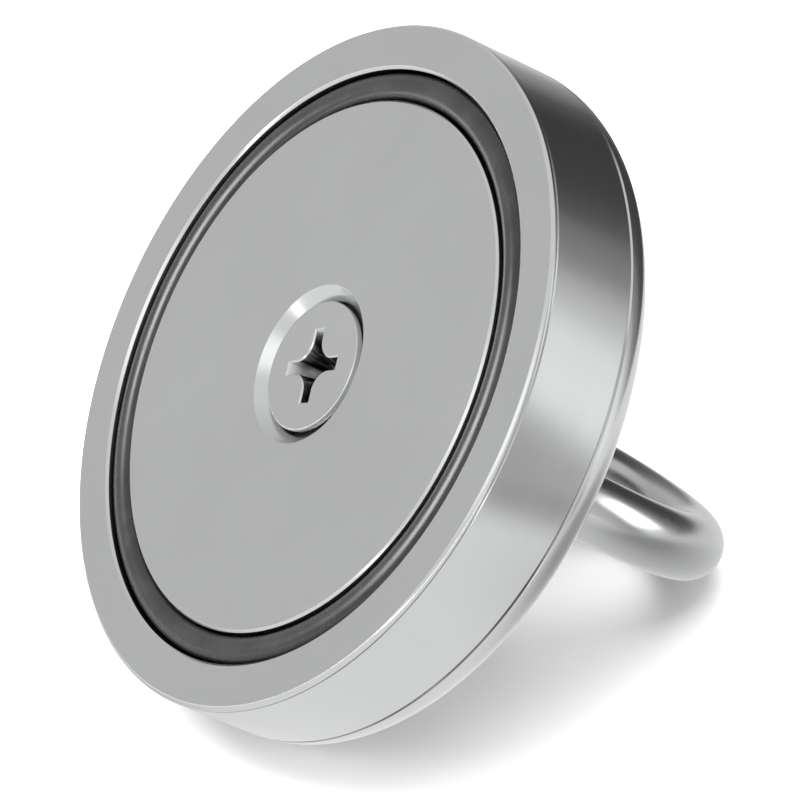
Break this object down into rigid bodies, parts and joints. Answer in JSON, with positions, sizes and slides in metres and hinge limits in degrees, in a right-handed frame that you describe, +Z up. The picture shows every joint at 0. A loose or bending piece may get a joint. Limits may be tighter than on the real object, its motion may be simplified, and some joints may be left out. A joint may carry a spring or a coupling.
{
  "type": "magnet fishing magnet",
  "caption": "Round single-sided pot magnet with a countersunk screw through its centre and a lifting eye on the back for a rope.",
  "frame": {"origin": "centre of the box on the table that the magnet lies on, under its middle", "axes": "+Z up from the table; +X across the pot, level with the eye's ring; +Y from the holding face towards the eye. The holding face looks along -Y and up, about 40 degrees above the level."},
  "size_m": [0.09, 0.0802, 0.0782],
  "materials": {
    "plated_pot": "bright nickel plate over turned steel",
    "plated_plate": "satin nickel plate with a fine turned grain",
    "plated_screw": "bright nickel plate",
    "chromed_eye": "polished chrome over forged steel",
    "zinc_steel": "satin zinc plate",
    "black_rubber": "smooth satin black",
    "sintered_magnet": "dull nickel plate over sintered magnet",
    "brass": "turned brass"
  },
  "bodies": {
    "eye": {"eye_nut": "chromed_eye"},
    "washers": {"flat_washer": "zinc_steel", "spring_washer": "zinc_steel"},
    "screw": {"countersunk_screw": "plated_screw"},
    "pot": {"steel_pot": "plated_pot", "pole_plate": "plated_plate", "gap_ring": "black_rubber", "magnet_segment_1": "sintered_magnet", "magnet_segment_2": "sintered_magnet", "magnet_segment_3": "sintered_magnet", "magnet_segment_4": "sintered_magnet", "magnet_segment_5": "sintered_magnet", "magnet_segment_6": "sintered_magnet", "spacer_sleeve": "brass"}
  },
  "joints": [
    {"name": "thread_travel", "type": "slide", "parent": "eye", "child": "washers", "axis": [0, -0.765, 0.644], "range_m": [0, 0.009]},
    {"name": "screw_turn", "type": "hinge", "parent": "washers", "child": "screw", "pos_m": [0, -0.01141, 0.04404], "axis": [0, -0.765, 0.644], "range_deg": [0, 2160]},
    {"name": "pot_spin", "type": "hinge", "parent": "screw", "child": "pot", "pos_m": [0, -0.01141, 0.04404], "axis": [0, -0.765, 0.644], "continuous": true}
  ],
  "couplings": [
    {"joint": "screw_turn", "follows": "thread_travel", "rad_per_m": 4188.8}
  ]
}
